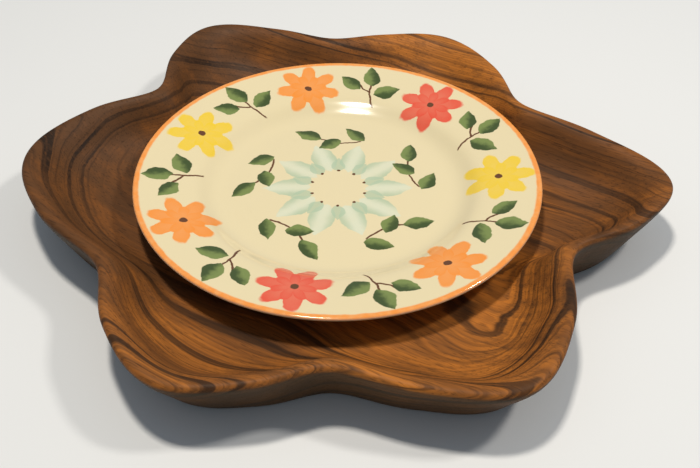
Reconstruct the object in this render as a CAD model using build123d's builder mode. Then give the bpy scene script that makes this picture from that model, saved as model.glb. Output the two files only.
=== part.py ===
"""A hand-carved six-lobed wooden dish with a glazed ceramic plate resting in its round seat.

Units are millimetres. The origin is on the table, under the middle of the dish, with +Z up,
+X towards the right-hand lobe and -Y towards the two front lobes.
"""

import os
from math import cos, radians, sin

from build123d import *

os.makedirs("parts", exist_ok=True)

# Plate: a dinner plate with a flat well, a curved shoulder and a broad sloping rim
plate_radius = 135.0
plate_height = 22.0
plate_wall = 4.2
well_radius = 76.0
shoulder_radius = 97.0
shoulder_height = 15.0
foot_radius = 82.0
foot_width = 5.0
foot_height = 1.8
lip_radius = 1.6
plate_centre = (-4.0, 8.5)

# Dish: height, floor and the rounded arris of its rim
rim_height = 42.0
floor_thickness = 10.0
rim_margin = 51.0
arris_drop = 1.5
arris_round = 1.4
base_spread = 5.0

# Seat: the round hollow in the middle of the dish that clears the plate all round
seat_gap = 2.5
seat_floor_radius = plate_radius - 41.0
seat_wall_height = plate_height - 7.0

# The carved outline, anticlockwise from the right-hand lobe: the angle in degrees, how far the
# edge stands out from the mean reach, and its share of lobe: 1 at a tip, 0 at a neck
tip, shoulder, neck = 1.0, 0.5, 0.0
outline = [
    (357, 26, tip),
    (13, -8, shoulder),
    (31, -38, neck),
    (48, -17, shoulder),
    (65, 1, tip),
    (80, -11, shoulder),
    (94, -20, neck),
    (107, 2, shoulder),
    (121, 28, tip),
    (133, 9, shoulder),
    (146, -21, neck),
    (160, 5, shoulder),
    (176, 26, tip),
    (193, 9, shoulder),
    (212, -16, neck),
    (227, 4, shoulder),
    (242, 18, tip),
    (255, 2, shoulder),
    (268, -16, neck),
    (283, 2, shoulder),
    (298, 21, tip),
    (313, 0, shoulder),
    (330, -27, neck),
    (344, 5, shoulder),
]
mean_reach = plate_radius + rim_margin

# Cross-sections through the wall: the height, then how far in from the rim it lies at a tip
# and at a neck
outside = [
    (0.0, 27.0, 20.0),
    (base_spread, 19.0, 13.5),
    (0.33 * rim_height, 14.0, 10.0),
    (0.60 * rim_height, 7.0, 5.0),
    (0.86 * rim_height, 1.2, 0.8),
    (rim_height - arris_drop, 0.0, 0.0),
    (rim_height, arris_round, arris_round),
]
inside = [
    (floor_thickness, 62.0, 40.0),
    (floor_thickness + 0.08 * rim_height, 45.0, 30.0),
    (floor_thickness + 0.26 * rim_height, 29.0, 21.0),
    (floor_thickness + 0.52 * rim_height, 17.0, 13.0),
    (rim_height - arris_drop, 6.0, 5.5),
    (rim_height + arris_drop, 3.6, 3.4),
]


def carved_outline(tip_inset, neck_inset):
    """The outline's points, drawn in towards the middle by one inset at tips and another at necks."""
    points = []
    for angle, standing_out, share in outline:
        inset = neck_inset + share * (tip_inset - neck_inset)
        reach = mean_reach + standing_out - inset
        points.append((reach * cos(radians(angle)), reach * sin(radians(angle))))
    return points


# The plane that holds the plate's and the seat's half-sections: its origin is on the floor of the
# dish under the middle of the plate, its X runs outwards and its Y runs up
plate_foot = Vector(plate_centre[0], plate_centre[1], floor_thickness)
plate_section = Plane(origin=plate_foot, x_dir=(1, 0, 0), z_dir=(0, -1, 0))
plate_axis = Axis(plate_foot, (0, 0, 1))


# Wooden dish, carved from one block
seat_radius = plate_radius + seat_gap
with BuildPart() as wood_dish:
    for height, tip_inset, neck_inset in outside:
        with BuildSketch(Plane.XY.offset(height)):
            with BuildLine():
                Spline(*carved_outline(tip_inset, neck_inset), periodic=True)
            make_face()
    loft()
    for height, tip_inset, neck_inset in inside:
        with BuildSketch(Plane.XY.offset(height)):
            with BuildLine():
                Spline(*carved_outline(tip_inset, neck_inset), periodic=True)
            make_face()
    loft(mode=Mode.SUBTRACT)
    with BuildSketch(plate_section):
        with BuildLine():
            Polyline(
                (0, 0),
                (seat_floor_radius, 0),
                (seat_radius, seat_wall_height),
                (seat_radius, rim_height),
                (0, rim_height),
                close=True,
            )
        make_face()
    revolve(axis=plate_axis, mode=Mode.SUBTRACT)
wood_dish.part.label = "wood_dish"
export_step(wood_dish.part, "parts/wood_dish.step")

# Glazed ceramic plate, turned, standing on its foot ring on the floor of the dish
well_height = foot_height + plate_wall
lip_start = plate_radius - lip_radius
with BuildPart() as ceramic_plate:
    with BuildSketch(plate_section):
        with BuildLine():
            Line((0, well_height), (well_radius, well_height))
            Spline(
                (well_radius, well_height),
                (shoulder_radius, shoulder_height),
                tangents=[(1, 0), (4, 1)],
            )
            Line((shoulder_radius, shoulder_height), (lip_start, plate_height))
            ThreePointArc(
                (lip_start, plate_height),
                (plate_radius, plate_height - lip_radius),
                (lip_start, plate_height - 2 * lip_radius),
            )
            Line((lip_start, plate_height - 2 * lip_radius), (shoulder_radius, shoulder_height - plate_wall))
            Spline(
                (shoulder_radius, shoulder_height - plate_wall),
                (foot_radius, foot_height),
                tangents=[(-4, -1), (-3, -1)],
            )
            Polyline(
                (foot_radius, foot_height),
                (foot_radius, 0),
                (foot_radius - foot_width, 0),
                (foot_radius - foot_width, foot_height),
                (0, foot_height),
                (0, well_height),
            )
        make_face()
    revolve(axis=plate_axis)
ceramic_plate.part.label = "ceramic_plate"
export_step(ceramic_plate.part, "parts/ceramic_plate.step")
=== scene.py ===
"""A carved wooden dish with a painted ceramic plate in it: the looks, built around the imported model.

Run as a script. The file is laid out as an add-on: property groups hold the sizes and colours, one
operator makes each piece or the stage, and a panel lists them. Lengths are in metres.
"""

from math import cos, pi, radians, sin

import bmesh
import bpy
from bpy.props import FloatProperty, FloatVectorProperty, IntProperty, PointerProperty
from mathutils import Matrix, Vector, noise


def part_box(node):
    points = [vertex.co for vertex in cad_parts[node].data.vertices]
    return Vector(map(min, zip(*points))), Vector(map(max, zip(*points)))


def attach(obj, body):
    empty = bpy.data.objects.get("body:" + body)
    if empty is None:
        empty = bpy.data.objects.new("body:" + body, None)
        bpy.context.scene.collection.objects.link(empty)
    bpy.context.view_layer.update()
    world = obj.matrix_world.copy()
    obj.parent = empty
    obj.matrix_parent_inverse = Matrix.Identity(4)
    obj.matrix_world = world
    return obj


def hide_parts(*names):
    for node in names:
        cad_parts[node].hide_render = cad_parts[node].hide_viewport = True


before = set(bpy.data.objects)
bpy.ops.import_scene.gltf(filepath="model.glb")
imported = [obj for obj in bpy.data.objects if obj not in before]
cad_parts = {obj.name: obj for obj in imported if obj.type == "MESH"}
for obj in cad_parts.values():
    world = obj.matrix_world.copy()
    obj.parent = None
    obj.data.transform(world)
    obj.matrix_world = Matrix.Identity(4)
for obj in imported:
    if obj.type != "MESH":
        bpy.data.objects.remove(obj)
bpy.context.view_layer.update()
_, DISH_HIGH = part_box("wood_dish")
PLATE_LOW, PLATE_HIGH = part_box("ceramic_plate")

bl_info = {
    "name": "Lobed dish with plate",
    "version": (1, 0, 0),
    "blender": (4, 5, 0),
    "location": "View3D > Sidebar > Dish",
    "description": "Makes a carved six-lobed wooden dish and the painted plate that rests in it",
    "category": "Add Mesh",
}

MM = 0.001

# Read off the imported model: the plate's place, the floor it stands on and the dish's rim
PLATE_CENTRE = (PLATE_LOW + PLATE_HIGH) / 2
PLATE_RADIUS = (PLATE_HIGH.x - PLATE_LOW.x) / 2
FLOOR = PLATE_LOW.z
DISH_RIM = DISH_HIGH.z

# The dish's mean reach, and the round seat that is cut into it for the plate
MEAN_REACH = 186 * MM
SEAT_GAP = 2.5 * MM
SEAT_SLOPE = 41 * MM
SEAT_RISE = 15 * MM

# Tool marks to the metre, round the dish and up its wall, which start above the base
MARKS_ROUND = 22
MARKS_UP = 30
BASE_BAND = 4 * MM

# The carved outline, anticlockwise from the right-hand lobe: the angle in degrees, how far the
# edge stands out from the mean reach in millimetres, and its share of lobe, 1 at a tip
STANDING_OUT, LOBE = 1, 2
OUTLINE = [
    (-3, 26, 1.0), (13, -8, 0.5), (31, -38, 0.0), (48, -17, 0.5),
    (65, 1, 1.0), (80, -11, 0.5), (94, -20, 0.0), (107, 2, 0.5),
    (121, 28, 1.0), (133, 9, 0.5), (146, -21, 0.0), (160, 5, 0.5),
    (176, 26, 1.0), (193, 9, 0.5), (212, -16, 0.0), (227, 4, 0.5),
    (242, 18, 1.0), (255, 2, 0.5), (268, -16, 0.0), (283, 2, 0.5),
    (298, 21, 1.0), (313, 0, 0.5), (330, -27, 0.0), (344, 5, 0.5),
]

# The wall's sections, as height in metres, then inset from the rim at a tip and at a neck
OUTSIDE = [
    (0.0000, 0.0330, 0.0260),
    (0.0000, 0.0262, 0.0192),
    (0.0012, 0.0222, 0.0162),
    (0.0050, 0.0190, 0.0135),
    (0.0140, 0.0140, 0.0100),
    (0.0252, 0.0070, 0.0050),
    (0.0340, 0.0020, 0.0016),
    (0.0378, 0.0003, 0.0003),
    (0.0402, 0.0006, 0.0006),
]
INSIDE = [
    (0.0418, 0.0032, 0.0030),
    (0.0414, 0.0066, 0.0058),
    (0.0400, 0.0102, 0.0086),
    (0.0372, 0.0145, 0.0116),
    (0.0328, 0.0192, 0.0146),
    (0.0272, 0.0244, 0.0180),
    (0.0217, 0.0305, 0.0220),
    (0.0172, 0.0380, 0.0262),
    (0.0137, 0.0460, 0.0306),
    (0.0113, 0.0550, 0.0352),
    (0.0102, 0.0630, 0.0402),
    (0.0100, 0.0730, 0.0480),
]


class Shade:
    """A socket of a material's node tree that can be written in sums."""

    def __init__(self, tree, socket):
        self.tree = tree
        self.socket = socket

    def math(self, operation, *others):
        values = [self, *others]
        return add_node(self.tree, "ShaderNodeMath", {"operation": operation}, values)

    def __add__(self, other):
        return self.math("ADD", other)

    def __radd__(self, other):
        return self.math("ADD", other)

    def __sub__(self, other):
        return self.math("SUBTRACT", other)

    def __rsub__(self, other):
        return add_node(self.tree, "ShaderNodeMath", {"operation": "SUBTRACT"}, [other, self])

    def __mul__(self, other):
        return self.math("MULTIPLY", other)

    def __rmul__(self, other):
        return self.math("MULTIPLY", other)

    def __truediv__(self, other):
        return self.math("DIVIDE", other)

    def clamp(self):
        return add_node(self.tree, "ShaderNodeClamp", {}, [self])

    def step(self, low, high):
        """A smooth rise from 0 at low to 1 at high."""
        settings = {"interpolation_type": "SMOOTHSTEP"}
        return add_node(self.tree, "ShaderNodeMapRange", settings, [self, low, high, 0.0, 1.0])


def add_node(tree, kind, settings=None, values=(), output=0):
    """Adds a node, sets its settings and then its sockets, and returns one output."""
    node = tree.nodes.new(kind)
    for name, value in (settings or {}).items():
        if name == "steps":
            set_steps(node.color_ramp, value)
        else:
            setattr(node, name, value)
    pairs = values.items() if isinstance(values, dict) else enumerate(values)
    for key, value in pairs:
        if isinstance(value, Shade):
            tree.links.new(value.socket, node.inputs[key])
        else:
            node.inputs[key].default_value = value
    return Shade(tree, node.outputs[output])


def set_steps(ramp, steps):
    """Gives a colour ramp flat steps, each from a place on and with a colour."""
    ramp.interpolation = "CONSTANT"
    while len(ramp.elements) < len(steps):
        ramp.elements.new(0.5)
    for element, (place, colour) in zip(ramp.elements, steps):
        element.position = place
        element.color = (*colour, 1.0)


def mix(tree, share, first, second):
    """Mixes two colours."""
    values = {0: share}
    for key, colour in ((6, first), (7, second)):
        values[key] = colour if isinstance(colour, Shade) else (*colour, 1.0)
    return add_node(tree, "ShaderNodeMix", {"data_type": "RGBA"}, values, output=2)


def vector(tree, operation, *values):
    """Vector maths."""
    return add_node(tree, "ShaderNodeVectorMath", {"operation": operation}, values)


def join(tree, x, y, z):
    """A vector of three values."""
    return add_node(tree, "ShaderNodeCombineXYZ", {}, [x, y, z])


def noise_at(tree, place, scale, detail=2.0, roughness=0.5, output=0):
    """Smooth noise at a place, from 0 to 1; output 1 gives three of them as a vector."""
    values = {"Vector": place, "Scale": scale, "Detail": detail, "Roughness": roughness}
    return add_node(tree, "ShaderNodeTexNoise", {}, values, output)


def noise_along(tree, distance, detail):
    """Smooth noise that changes with one number alone."""
    values = {"W": distance, "Detail": detail}
    return add_node(tree, "ShaderNodeTexNoise", {"noise_dimensions": "1D"}, values)


def bump_of(tree, height, strength, depth):
    """A bump that raises a surface where height is large."""
    return add_node(tree, "ShaderNodeBump", {}, {"Strength": strength, "Distance": depth, "Height": height})


def new_material(name):
    """A material with one Principled shader; returns the material, its tree and the shader."""
    material = bpy.data.materials.new(name)
    material.use_nodes = True
    return material, material.node_tree, material.node_tree.nodes["Principled BSDF"]


def feed(tree, shader, name, value):
    """Links a varying value to one of the shader's sockets."""
    tree.links.new(value.socket, shader.inputs[name])


def axes_of(tree, place):
    """The three parts of a vector."""
    node = tree.nodes.new("ShaderNodeSeparateXYZ")
    tree.links.new(place.socket, node.inputs[0])
    return [Shade(tree, out) for out in node.outputs]


def around(angle, column):
    """One column of the outline at an angle in degrees, on a smooth closed curve."""
    count = len(OUTLINE)
    angle = (angle - OUTLINE[0][0]) % 360 + OUTLINE[0][0]
    after = next((i for i in range(count) if OUTLINE[i][0] > angle), count)
    places = []
    for step in (-2, -1, 0, 1):
        turn, index = divmod(after + step, count)
        places.append((OUTLINE[index][0] + 360 * turn, OUTLINE[index][column]))
    (a0, v0), (a1, v1), (a2, v2), (a3, v3) = places
    span = a2 - a1
    share = (angle - a1) / span
    slope1 = (v2 - v0) / (a2 - a0) * span
    slope2 = (v3 - v1) / (a3 - a1) * span
    square, cube = share**2, share**3
    return (
        (2 * cube - 3 * square + 1) * v1
        + (cube - 2 * square + share) * slope1
        + (3 * square - 2 * cube) * v2
        + (cube - square) * slope2
    )


def seat_height(x, y):
    """How high the round seat under the plate lets the wood stand at a place."""
    out = (Vector((x, y)) - PLATE_CENTRE.xy).length
    seat = PLATE_RADIUS + SEAT_GAP
    start = PLATE_RADIUS - SEAT_SLOPE
    if out >= seat:
        return DISH_RIM
    return FLOOR + SEAT_RISE * max(0.0, (out - start) / (seat - start))


def ring_places(segments, section, tooling):
    """The places of one ring of the dish's surface, with the faint unevenness of hand work."""
    height, tip_inset, neck_inset = section
    places = []
    for i in range(segments):
        angle = 360 * i / segments
        share = around(angle, LOBE)
        inset = neck_inset + share * (tip_inset - neck_inset)
        reach = MEAN_REACH + around(angle, STANDING_OUT) * MM - inset
        x = reach * cos(radians(angle))
        y = reach * sin(radians(angle))
        uneven = noise.noise(Vector((x * MARKS_ROUND, y * MARKS_ROUND, height * MARKS_UP)))
        pull = 1 - tooling * abs(uneven) / reach
        places.append(Vector((x * pull, y * pull, height)))
    return places


def next_ring(mesh, loop, places):
    """Extrudes a closed loop of edges, moves it to new places and returns the new loop."""
    made = bmesh.ops.extrude_edge_only(mesh, edges=loop)["geom"]
    verts = [v for v in made if isinstance(v, bmesh.types.BMVert)]
    for vert, place in zip(verts, places):
        vert.co = place
    new = set(verts)
    edges = [e for e in made if isinstance(e, bmesh.types.BMEdge)]
    return [e for e in edges if e.verts[0] in new and e.verts[1] in new]


def finish_mesh(mesh, name, materials, smooth=True):
    """Makes an object of a bmesh, at the origin."""
    data = bpy.data.meshes.new(name)
    mesh.to_mesh(data)
    mesh.free()
    for polygon in data.polygons:
        polygon.use_smooth = smooth
    for material in materials:
        data.materials.append(material)
    obj = bpy.data.objects.new(name, data)
    bpy.context.scene.collection.objects.link(obj)
    return obj


class WoodSettings(bpy.types.PropertyGroup):
    """Sizes and colours of the dish and its wood."""

    segments: IntProperty(name="Segments", description="Points round the rim", default=180, min=48)
    tooling: FloatProperty(
        name="Tooling", description="Unevenness left by hand tools", default=0.0005, unit="LENGTH"
    )
    grain_turn: FloatProperty(
        name="Grain turn", description="Way the grain runs", default=radians(-32), subtype="ANGLE"
    )
    ring_width: FloatProperty(
        name="Ring width", description="Growth in a year", default=0.0050, unit="LENGTH"
    )
    pith_depth: FloatProperty(
        name="Pith depth", description="Heart of the tree under the dish", default=0.15, unit="LENGTH"
    )
    dark: FloatVectorProperty(
        name="Dark", description="Dark wood", default=(0.100, 0.042, 0.015), subtype="COLOR"
    )
    middle: FloatVectorProperty(
        name="Middle", description="Brown wood", default=(0.225, 0.078, 0.017), subtype="COLOR"
    )
    golden: FloatVectorProperty(
        name="Golden", description="Golden wood", default=(0.560, 0.190, 0.028), subtype="COLOR"
    )
    # Painted shade: the colour that the outer wall is darkened towards
    outer_wall_shade: FloatVectorProperty(
        name="Outside", description="Outer wall", default=(0.040, 0.027, 0.012), subtype="COLOR"
    )
    streak: FloatVectorProperty(
        name="Streak", description="Nearly black", default=(0.014, 0.008, 0.005), subtype="COLOR"
    )


class PlateSettings(bpy.types.PropertyGroup):
    """Sizes and colours of the plate and its painting."""

    segments: IntProperty(name="Segments", description="Steps round the plate", default=160, min=48)
    flowers: IntProperty(name="Flowers", description="Flowers round the rim", default=7, min=3)
    flower_ring: FloatProperty(
        name="Flower ring", description="From the middle to a flower", default=0.1075, unit="LENGTH"
    )
    flower_radius: FloatProperty(
        name="Flower radius", description="Size of a flower", default=0.0238, unit="LENGTH"
    )
    band: FloatProperty(
        name="Rim band", description="Width of the orange band", default=0.0042, unit="LENGTH"
    )
    glaze: FloatVectorProperty(
        name="Glaze", description="Cream glaze", default=(0.77, 0.665, 0.42), subtype="COLOR"
    )
    thin_glaze: FloatVectorProperty(
        name="Thin glaze", description="Where glaze lies thin", default=(0.72, 0.63, 0.45), subtype="COLOR"
    )
    # Painted shade: a darker, shaded cream that is mixed in patches into the underside's glaze
    shaded_under_glaze: FloatVectorProperty(
        name="Under glaze", description="Thin glaze below", default=(0.72, 0.64, 0.48), subtype="COLOR"
    )
    clay: FloatVectorProperty(
        name="Clay", description="Bare foot ring", default=(0.62, 0.52, 0.40), subtype="COLOR"
    )
    orange: FloatVectorProperty(
        name="Orange", description="Rim band and flowers", default=(0.88, 0.28, 0.03), subtype="COLOR"
    )
    band_light: FloatVectorProperty(
        name="Band light", description="Thin strokes in it", default=(0.88, 0.52, 0.22), subtype="COLOR"
    )
    worn_lip: FloatVectorProperty(
        name="Worn lip", description="Lip of the plate", default=(0.72, 0.50, 0.36), subtype="COLOR"
    )
    yellow: FloatVectorProperty(
        name="Yellow", description="Yellow flowers", default=(0.84, 0.58, 0.025), subtype="COLOR"
    )
    coral: FloatVectorProperty(
        name="Coral", description="Red flowers", default=(0.76, 0.075, 0.035), subtype="COLOR"
    )
    celadon: FloatVectorProperty(
        name="Celadon", description="Pale wreath", default=(0.42, 0.54, 0.38), subtype="COLOR"
    )
    celadon_light: FloatVectorProperty(
        name="Celadon light", description="Petals' middles", default=(0.68, 0.72, 0.56), subtype="COLOR"
    )
    leaf: FloatVectorProperty(
        name="Leaf", description="Dark green leaves", default=(0.050, 0.080, 0.018), subtype="COLOR"
    )
    leaf_light: FloatVectorProperty(
        name="Leaf light", description="Thin green wash", default=(0.19, 0.25, 0.07), subtype="COLOR"
    )
    brown: FloatVectorProperty(
        name="Brown", description="Stems and seeds", default=(0.13, 0.048, 0.015), subtype="COLOR"
    )


class StageSettings(bpy.types.PropertyGroup):
    """Floor, lamps and camera."""

    floor_size: FloatProperty(
        name="Floor", description="Width of the floor", default=30.0, unit="LENGTH"
    )
    floor_colour: FloatVectorProperty(
        name="Floor colour", description="Pale table", default=(0.75, 0.76, 0.77), subtype="COLOR"
    )
    background: FloatVectorProperty(
        name="Background", description="Far behind the dish", default=(0.90, 0.90, 0.89), subtype="COLOR"
    )
    room_colour: FloatVectorProperty(
        name="Room colour", description="Light from all round", default=(0.80, 0.90, 1.0), subtype="COLOR"
    )
    room_light: FloatProperty(name="Room light", description="Its strength", default=0.28)
    lens: FloatProperty(name="Lens", description="Focal length in mm", default=46.3)
    tilt: FloatProperty(
        name="Tilt", description="Camera's look down", default=radians(42.04), subtype="ANGLE"
    )
    roll: FloatProperty(
        name="Roll", description="Camera's roll", default=radians(0.37), subtype="ANGLE"
    )
    stand: FloatVectorProperty(
        name="Camera's place", description="From the plate's middle at the height of the dish's rim",
        default=(0.0083, -0.4734, 0.3588), subtype="TRANSLATION",
    )


# Name, place, width, power and colour of each lamp
LAMPS = (
    ("lamp_above", (-0.16, 0.06, 1.5), 0.15, 15.2, (1.0, 0.93, 0.82)),
    ("lamp_right", (1.05, 0.12, 1.40), 0.18, 10.4, (1.0, 0.95, 0.87)),
)


def wood_material(wood):
    """Oiled dark wood whose growth rings run through the whole block, so carving cuts across them, with
    painted shade on the outer wall.
    """
    material, tree, shader = new_material("oiled_dark_wood")
    place = add_node(tree, "ShaderNodeTexCoord", output=3)
    rotation = (0.0, radians(2), -wood.grain_turn)
    turned = add_node(tree, "ShaderNodeMapping", {}, {"Vector": place, "Rotation": rotation})
    along, across, up = axes_of(tree, turned)
    east, north, _ = axes_of(tree, place)

    # Growth rings round a wavy heart that lies under the dish
    drawn_out = join(tree, along * 0.35, across, up)
    bend = noise_at(tree, drawn_out, 8.0, 2.0) - 0.5
    ripple = noise_at(tree, drawn_out, 36.0, 3.0) - 0.5
    side = across + 0.03
    rise = up * 1.15 + wood.pith_depth
    from_pith = (side * side + rise * rise).math("SQRT") + bend * 0.040 + ripple * 0.0050
    years = from_pith / wood.ring_width
    year = years.math("FRACT")
    late = year.step(0.30, 0.95) * (1.0 - year.step(0.96, 1.0))
    each_year = noise_along(tree, years * 0.8, 1.0)
    slow_band = noise_along(tree, years * 0.17 + 7.3, 3.0)

    # Fibres, strands and pores are drawn out along the grain
    fibres = noise_at(tree, join(tree, along * 7.0, across * 260.0, up * 260.0), 1.0, 4.0, 0.65)
    strands = noise_at(tree, join(tree, along * 3.0, across * 70.0, up * 70.0), 1.0, 3.0, 0.6)
    pores = noise_at(tree, join(tree, along * 90.0, across * 1100.0, up * 1100.0), 1.0, 1.0)
    cloud = noise_at(tree, place, 7.0, 3.0) - 0.5
    fade = noise_at(tree, drawn_out, 17.0, 2.0).step(0.38, 0.62)

    finer = (years * 2.6 + strands * 1.5).math("FRACT")
    thin = finer.step(0.2, 0.9) * (1.0 - finer.step(0.9, 1.0))

    # Dark towards the left, golden at the front and at the back right
    slant = east * 2.1 - north * 0.4 + east * north * 11.6 - east.step(0.08, 0.18) * 0.62
    warmth = 0.54 + slant + cloud * 1.0 + (strands - 0.5) * 1.0
    base = mix(tree, warmth.step(0.0, 0.58), wood.dark, wood.middle)
    base = mix(tree, warmth.step(0.35, 1.0), base, wood.golden)

    # Dark bands, ring lines and nearly black streaks
    band = (slow_band + (strands - 0.5) * 0.12).step(0.50, 0.68)
    base = mix(tree, band * 0.60, base, wood.dark)
    base = mix(tree, thin * 0.30, base, wood.dark)
    line = late * each_year.step(0.36, 0.70)
    base = mix(tree, line * (0.22 + fade * 0.40), base, wood.streak)
    black = (slow_band + (fibres - 0.5) * 0.16 + (strands - 0.5) * 0.10).step(0.58, 0.68)
    cool = 1.0 - warmth.step(0.0, 0.6)
    base = mix(tree, black * (0.30 + fade * 0.45 + cool * 0.25), base, wood.streak)

    base = mix(tree, fibres.step(0.42, 0.74) * 0.62, base, wood.dark)
    base = mix(tree, (1.0 - fibres.step(0.24, 0.50)) * 0.25, base, wood.middle)
    fleck = pores.step(0.58, 0.70)
    base = mix(tree, fleck * 0.40, base, wood.streak)

    # Painted shade: the outer wall, which faces sideways or down, is darkened towards a shade colour
    facing = add_node(tree, "ShaderNodeNewGeometry", output=1)
    outer_wall_shade = 1.0 - axes_of(tree, facing)[2].step(-0.15, 0.30)
    base = mix(tree, outer_wall_shade * 0.78, base, wood.outer_wall_shade)
    feed(tree, shader, "Base Color", base)
    feed(tree, shader, "Roughness", 0.46 + fibres * 0.16 + fleck * 0.12)
    feed(tree, shader, "Normal", bump_of(tree, fibres, 0.30, 0.3 * MM))
    shader.inputs["Specular IOR Level"].default_value = 0.15
    return material


def folded(x, y, count, start):
    """Folds the plate into equal sectors.

    Returns the sector's number, and how far a place is along its middle line and across it.
    """
    angle = y.math("ARCTAN2", x)
    turn = angle * (count / (2 * pi)) + start
    number = turn.math("FLOOR")
    inside = (turn - number - 0.5) * (2 * pi / count)
    out = (x * x + y * y).math("SQRT")
    return number, out * inside.math("COSINE"), out * inside.math("SINE")


def leaf_shape(u, v, middle, turn, length, width, wobble):
    """The mask of one brush-stroke leaf and how far across it a place lies."""
    du, dv = u - middle[0], v - middle[1]
    along = (du * cos(turn) + dv * sin(turn)) / (length / 2)
    across = (dv * cos(turn) - du * sin(turn)) / (width / 2)
    fatness = (1.0 - along * along) * (1.1 - along * 0.35).math("MAXIMUM", 0.2)
    edge = fatness - across.math("ABSOLUTE") + wobble * 0.35
    return edge.step(0.0, 0.12), across


def line_shape(u, v, start, end, width, bow):
    """The mask of one thin bowed brush line."""
    du, dv = end[0] - start[0], end[1] - start[1]
    length = (du * du + dv * dv) ** 0.5
    along = ((u - start[0]) * du + (v - start[1]) * dv) / (length * length)
    across = ((v - start[1]) * du - (u - start[0]) * dv) / length
    inside = along.step(-0.02, 0.03) * (1.0 - along.step(0.97, 1.02))
    swing = (along * (1.0 - along)) * (4 * bow)
    away = (across - swing).math("ABSOLUTE")
    return inside * (1.0 - away.step(width * 0.35, width * 0.65))


# A spray's leaves, each as its middle in its sector, turn in radians, length and width
WREATH_LEAVES = (
    ((0.0610, -0.0115), 0.75, 0.021, 0.0108),
    ((0.0495, 0.0065), 2.15, 0.019, 0.0108),
    ((0.0600, 0.0225), 1.15, 0.022, 0.0108),
)
GARLAND_LEAVES = (
    ((0.0130, 0.0025), 0.25, 0.022, 0.0122),
    ((-0.0010, -0.0120), -1.10, 0.022, 0.0120),
    ((0.0035, 0.0170), 1.00, 0.020, 0.0112),
)

# A spray's stems, each as its start, end and bow
WREATH_STEMS = (((0.053, -0.016), (0.056, 0.014), 0.0035),)
GARLAND_STEMS = (
    ((-0.017, -0.004), (0.010, 0.001), 0.002),
    ((-0.004, 0.0), (0.003, 0.010), 0.001),
)
STEM_WIDTH = 1.4 * MM

# Counts and sizes in the painting, the shake of the brush, and the glaze's refraction
FLOWER_PETALS = 7
WREATH_PETALS = 10
WREATH_SPRAYS = 5
SEED_RING = 18.5 * MM
SHAKE = 2.6 * MM
GLAZE_IOR = 1.52


def paint_spray(tree, plate, colour, spot, stems, leaves, wobble, strokes):
    """Paints stems and then leaves over a colour, at a spot in the folded plate."""
    u, v = spot
    for start, end, bow in stems:
        stem = line_shape(u, v, start, end, STEM_WIDTH, bow)
        colour = mix(tree, stem, colour, plate.brown)
    for middle, turn, length, width in leaves:
        leaf, across = leaf_shape(u, v, middle, turn, length, width, wobble)
        wet = (across + strokes - 0.5).step(-0.5, 0.5)
        colour = mix(tree, leaf, colour, mix(tree, wet, plate.leaf, plate.leaf_light))
    return colour


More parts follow.
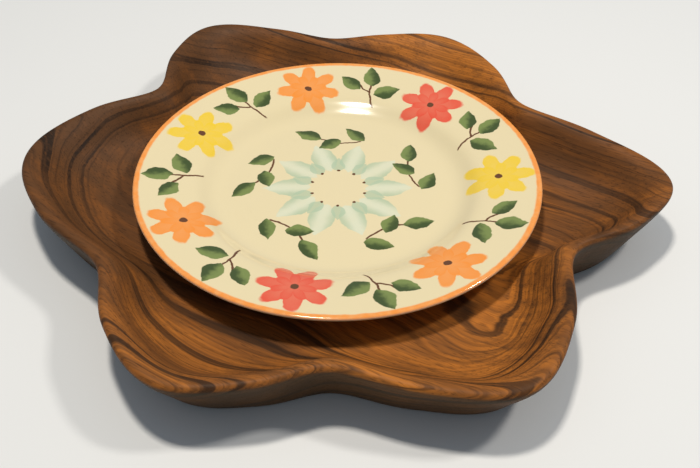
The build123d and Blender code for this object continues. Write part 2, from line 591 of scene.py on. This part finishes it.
def painted_material(plate):
    """Cream glaze over a painted garland of star flowers, leaf sprays and a pale wreath."""
    material, tree, shader = new_material("painted_glaze")
    place = add_node(tree, "ShaderNodeTexCoord", output=3)
    centred = vector(tree, "SUBTRACT", place, (PLATE_CENTRE.x, PLATE_CENTRE.y, 0.0))
    shaken = noise_at(tree, centred, 160.0, 2.0, output=1)
    shaken = vector(tree, "SUBTRACT", shaken, (0.5, 0.5, 0.5))
    x0, y0, _ = axes_of(tree, centred)
    dx, dy, wobble = axes_of(tree, shaken)
    x = x0 + dx * SHAKE
    y = y0 + dy * SHAKE
    out = (x0 * x0 + y0 * y0).math("SQRT")
    wash = noise_at(tree, centred, 55.0, 4.0, 0.62)
    strokes = noise_at(tree, centred, 240.0, 2.0)

    colour = mix(tree, wash.step(0.3, 0.9) * 0.10, plate.glaze, plate.thin_glaze)

    # Pale wreath in the well
    _, u, v = folded(x, y, WREATH_PETALS, 0.5)
    petal, across = leaf_shape(u, v, (0.0345, 0.0), 0.06, 0.033, 0.0165, wobble)
    edge = across.math("ABSOLUTE").step(0.1, 1.0)
    tone = mix(tree, edge, plate.celadon_light, plate.celadon)
    colour = mix(tree, petal * (0.55 + wash * 0.5).clamp(), colour, tone)
    _, u, v = folded(x, y, WREATH_PETALS, 0.0)
    bud, _ = leaf_shape(u, v, (0.0255, 0.0), 0.0, 0.016, 0.009, wobble)
    colour = mix(tree, bud * 0.75, colour, plate.celadon)
    inwards = u - SEED_RING
    seed = 1.0 - (inwards * inwards + v * v).math("SQRT").step(0.9 * MM, 1.3 * MM)
    colour = mix(tree, seed, colour, plate.brown)
    _, u, v = folded(x, y, WREATH_SPRAYS, 0.25)
    colour = paint_spray(tree, plate, colour, (u, v), WREATH_STEMS, WREATH_LEAVES, wobble, strokes)

    # Leaf sprays between the flowers
    _, u, v = folded(x, y, plate.flowers, 0.0)
    spot = (u - plate.flower_ring, v)
    colour = paint_spray(tree, plate, colour, spot, GARLAND_STEMS, GARLAND_LEAVES, wobble, strokes)

    # Star flowers, each turned its own way and given its own colour
    number, u, v = folded(x, y, plate.flowers, 0.5)
    u = u - plate.flower_ring
    size = (u * u + v * v).math("SQRT")
    angle = v.math("ARCTAN2", u) + number * 1.9
    which = (number + 10.0 * plate.flowers).math("MODULO", plate.flowers) / plate.flowers
    yellow, coral, orange = (tuple(hue) for hue in (plate.yellow, plate.coral, plate.orange))
    hues = (yellow, coral, orange, yellow, orange, coral, orange)
    steps = [(i / len(hues), hue) for i, hue in enumerate(hues)]
    hue = add_node(tree, "ShaderNodeValToRGB", {"steps": steps}, [which + 0.02])
    for radius, turn, strength in ((1.0, 0.0, 0.97), (0.60, 0.45, 1.0)):
        spread = ((angle + turn) * (FLOWER_PETALS / 2)).math("COSINE").math("ABSOLUTE")
        reach = (0.40 + spread.math("POWER", 0.75) * 0.60) * (plate.flower_radius * radius)
        share = size / reach + wobble * 0.16
        petal = 1.0 - share.step(0.93, 1.04)
        depth = (share * share * 0.50 + wash * 0.90 - 0.05).clamp()
        pale = mix(tree, 0.22, hue, plate.glaze)
        colour = mix(tree, petal * strength, colour, mix(tree, depth, pale, hue))
    heart = 1.0 - size.step(2.2 * MM, 2.8 * MM)
    colour = mix(tree, heart, colour, plate.brown)

    # Orange rim band, uneven at its inner edge and worn off the very lip
    band_start = PLATE_RADIUS - plate.band
    band = (out + wobble * (1.2 * MM)).step(band_start - 0.6 * MM, band_start + 0.8 * MM)
    lip = out.step(PLATE_RADIUS - 0.9 * MM, PLATE_RADIUS - 0.2 * MM)
    band_tone = mix(tree, strokes.step(0.35, 0.75) * 0.3, plate.orange, plate.band_light)
    colour = mix(tree, band * 0.93, colour, band_tone)
    colour = mix(tree, lip * 0.75, colour, plate.worn_lip)

    feed(tree, shader, "Base Color", colour)
    feed(tree, shader, "Roughness", 0.10 + wash * 0.06)
    swell = noise_at(tree, centred, 28.0, 1.0)
    feed(tree, shader, "Normal", bump_of(tree, swell, 0.25, 0.6 * MM))
    shader.inputs["IOR"].default_value = GLAZE_IOR
    shader.inputs["Coat Weight"].default_value = 0.5
    shader.inputs["Coat Roughness"].default_value = 0.04
    return material


def plain_glaze_material(plate):
    """Plain cream glaze for the underside, with uneven patches of painted shade, bare and rougher on the
    foot ring.
    """
    material, tree, shader = new_material("plain_glaze")
    place = add_node(tree, "ShaderNodeTexCoord", output=3)
    _, _, height = axes_of(tree, place)
    wash = noise_at(tree, place, 60.0, 3.0)
    bare = 1.0 - (height + wash * (0.4 * MM)).step(FLOOR + 0.6 * MM, FLOOR + 1.0 * MM)
    # Painted shade: the underside's cream is mixed in uneven patches towards a darker, shaded cream
    glaze = mix(tree, wash * 0.25, plate.glaze, plate.shaded_under_glaze)
    feed(tree, shader, "Base Color", mix(tree, bare, glaze, plate.clay))
    feed(tree, shader, "Roughness", 0.14 + bare * 0.6)
    shader.inputs["IOR"].default_value = GLAZE_IOR
    return material


class DISH_OT_wood(bpy.types.Operator):
    """Make the carved wooden dish"""

    bl_idname = "dish.wood"
    bl_label = "Wooden dish"

    def execute(self, context):
        wood = context.scene.dish_wood
        mesh = bmesh.new()
        made = bmesh.ops.create_circle(mesh, cap_ends=True, segments=wood.segments, radius=MEAN_REACH)
        loop = list(mesh.edges)
        base, *walls = OUTSIDE
        for vert, place in zip(made["verts"], ring_places(wood.segments, base, 0.0)):
            vert.co = place
        for section in walls:
            tooling = wood.tooling if section[0] > BASE_BAND else 0.0
            loop = next_ring(mesh, loop, ring_places(wood.segments, section, tooling))
        for section in INSIDE:
            places = ring_places(wood.segments, section, wood.tooling)
            for place in places:
                place.z = min(place.z, seat_height(place.x, place.y))
            loop = next_ring(mesh, loop, places)
        for share in (0.72, 0.4):
            floor_ring = [Vector((place.x * share, place.y * share, FLOOR)) for place in places]
            loop = next_ring(mesh, loop, floor_ring)
        bmesh.ops.contextual_create(mesh, geom=loop)
        bmesh.ops.recalc_face_normals(mesh, faces=mesh.faces)
        dish = finish_mesh(mesh, "carved_dish", [wood_material(wood)])
        rounding = dish.modifiers.new("rounding", "SUBSURF")
        rounding.levels = rounding.render_levels = 2
        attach(dish, "dish")
        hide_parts("wood_dish")
        return {"FINISHED"}


# The plate's section from its middle over the lip and back under, as distance out and height above
# the floor, in millimetres
PLATE_SECTION = [
    (30, 6.0), (60, 6.0), (73, 6.0), (78, 6.25), (83, 7.4), (87.5, 9.7), (91, 12.0), (94.5, 13.9),
    (99, 15.3), (106, 16.7), (116, 18.5), (126, 20.35), (131.5, 21.4), (133.2, 21.8),
    (134.3, 21.5), (134.85, 20.6), (134.5, 19.5), (133.2, 18.75),
    (126, 16.7), (112, 13.9), (99, 11.2), (94, 9.2), (89.5, 6.2), (86, 3.6), (83.4, 2.1),
    (82, 1.0), (81.8, 0.3), (81, 0.0), (78, 0.0), (77.2, 0.3), (77, 1.4), (75, 1.8), (50, 1.8),
]

# Steep faces nearer the middle than this are the sides of the foot ring
FOOT_REACH = 94.5 * MM


class DISH_OT_plate(bpy.types.Operator):
    """Make the painted ceramic plate"""

    bl_idname = "dish.plate"
    bl_label = "Ceramic plate"

    def execute(self, context):
        plate = context.scene.dish_plate
        mesh = bmesh.new()
        places = [
            Vector((PLATE_CENTRE.x + out * MM, PLATE_CENTRE.y, FLOOR + height * MM))
            for out, height in PLATE_SECTION
        ]
        verts = [mesh.verts.new(place) for place in places]
        edges = [mesh.edges.new(pair) for pair in zip(verts, verts[1:])]
        bmesh.ops.spin(
            mesh, geom=verts + edges, cent=PLATE_CENTRE, axis=(0, 0, 1), angle=2 * pi,
            steps=plate.segments, use_merge=True,
        )
        bmesh.ops.remove_doubles(mesh, verts=mesh.verts, dist=0.001 * MM)
        open_edges = [e for e in mesh.edges if e.is_boundary]
        bmesh.ops.edgeloop_fill(mesh, edges=open_edges)
        bmesh.ops.recalc_face_normals(mesh, faces=mesh.faces)
        glazes = [painted_material(plate), plain_glaze_material(plate)]
        obj = finish_mesh(mesh, "painted_plate", glazes)
        for polygon in obj.data.polygons:
            out = (polygon.center.xy - PLATE_CENTRE.xy).length
            steep = polygon.normal.z < 0.4
            under = polygon.normal.z < -0.05 or (steep and out < FOOT_REACH)
            polygon.material_index = int(under)
        rounding = obj.modifiers.new("rounding", "SUBSURF")
        rounding.levels = rounding.render_levels = 2
        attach(obj, "plate")
        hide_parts("ceramic_plate")
        return {"FINISHED"}


def add_lamp(name, place, size, power, colour):
    """A soft square lamp that points at the dish."""
    data = bpy.data.lights.new(name, "AREA")
    data.size = size
    data.energy = power
    data.color = colour
    lamp = bpy.data.objects.new(name, data)
    lamp.location = place
    aim = Vector((0, 0, 0.02)) - Vector(place)
    lamp.rotation_euler = aim.to_track_quat("-Z", "Y").to_euler()
    bpy.context.scene.collection.objects.link(lamp)


def floor_material(stage):
    """A pale painted table, which far from the dish fades to the background for the camera."""
    material, tree, shader = new_material("pale_table")
    shader.inputs["Base Color"].default_value = (*stage.floor_colour, 1.0)
    shader.inputs["Roughness"].default_value = 0.6
    x, y, _ = axes_of(tree, add_node(tree, "ShaderNodeTexCoord", output=3))
    far = (x * x + y * y).math("SQRT").step(0.32, 1.35)
    seen = add_node(tree, "ShaderNodeLightPath")
    glow = add_node(tree, "ShaderNodeEmission", {}, [(*stage.background, 1.0), 1.0])
    plain = Shade(tree, shader.outputs[0])
    surface = add_node(tree, "ShaderNodeMixShader", {}, [far * seen, plain, glow])
    tree.links.new(surface.socket, tree.nodes["Material Output"].inputs["Surface"])
    return material


def soft_world(stage):
    """Dim cool light all round, which the camera sees as a nearly white background."""
    world = bpy.data.worlds.new("soft_room")
    world.use_nodes = True
    tree = world.node_tree
    seen = add_node(tree, "ShaderNodeLightPath")
    sky = tree.nodes["Background"]
    colour = mix(tree, seen, stage.room_colour, stage.background)
    tree.links.new(colour.socket, sky.inputs["Color"])
    strength = seen * (1.0 - stage.room_light) + stage.room_light
    tree.links.new(strength.socket, sky.inputs["Strength"])
    return world


class DISH_OT_stage(bpy.types.Operator):
    """Make the floor, the lamps and the camera"""

    bl_idname = "dish.stage"
    bl_label = "Stage"

    def execute(self, context):
        stage = context.scene.dish_stage
        mesh = bmesh.new()
        bmesh.ops.create_grid(mesh, x_segments=1, y_segments=1, size=stage.floor_size / 2)
        floor = finish_mesh(mesh, "table_top", [floor_material(stage)], smooth=False)

        for lamp in LAMPS:
            add_lamp(*lamp)
        context.scene.world = soft_world(stage)

        data = bpy.data.cameras.new("camera")
        data.sensor_width = 36
        data.lens = stage.lens
        camera = bpy.data.objects.new("camera", data)
        camera.location = Vector((PLATE_CENTRE.x, PLATE_CENTRE.y, DISH_RIM)) + Vector(stage.stand)
        camera.rotation_mode = "XYZ"
        look = Vector((0, cos(stage.tilt), -sin(stage.tilt)))
        turn = look.to_track_quat("-Z", "Y").to_matrix().to_4x4()
        camera.rotation_euler = (turn @ Matrix.Rotation(stage.roll, 4, "Z")).to_euler()
        context.scene.collection.objects.link(camera)
        context.scene.camera = camera
        context.scene.view_settings.view_transform = "Standard"
        return {"FINISHED"}


class DISH_PT_panel(bpy.types.Panel):
    """Lists the pieces and their settings."""

    bl_label = "Lobed dish"
    bl_idname = "DISH_PT_panel"
    bl_space_type = "VIEW_3D"
    bl_region_type = "UI"
    bl_category = "Dish"

    def draw(self, context):
        for operator, settings in MAKERS:
            box = self.layout.box()
            box.operator(operator)
            group = getattr(context.scene, settings)
            for name in group.__annotations__:
                box.prop(group, name)


MAKERS = (("dish.stage", "dish_stage"), ("dish.wood", "dish_wood"), ("dish.plate", "dish_plate"))
SETTINGS = {"dish_wood": WoodSettings, "dish_plate": PlateSettings, "dish_stage": StageSettings}
CLASSES = (*SETTINGS.values(), DISH_OT_wood, DISH_OT_plate, DISH_OT_stage, DISH_PT_panel)


def register():
    for item in CLASSES:
        bpy.utils.register_class(item)
    for name, group in SETTINGS.items():
        setattr(bpy.types.Scene, name, PointerProperty(type=group))


def unregister():
    for name in SETTINGS:
        delattr(bpy.types.Scene, name)
    for item in reversed(CLASSES):
        bpy.utils.unregister_class(item)


def main():
    register()
    bpy.ops.dish.stage()
    bpy.ops.dish.wood()
    bpy.ops.dish.plate()
    bpy.context.view_layer.update()


if __name__ == "__main__":
    main()
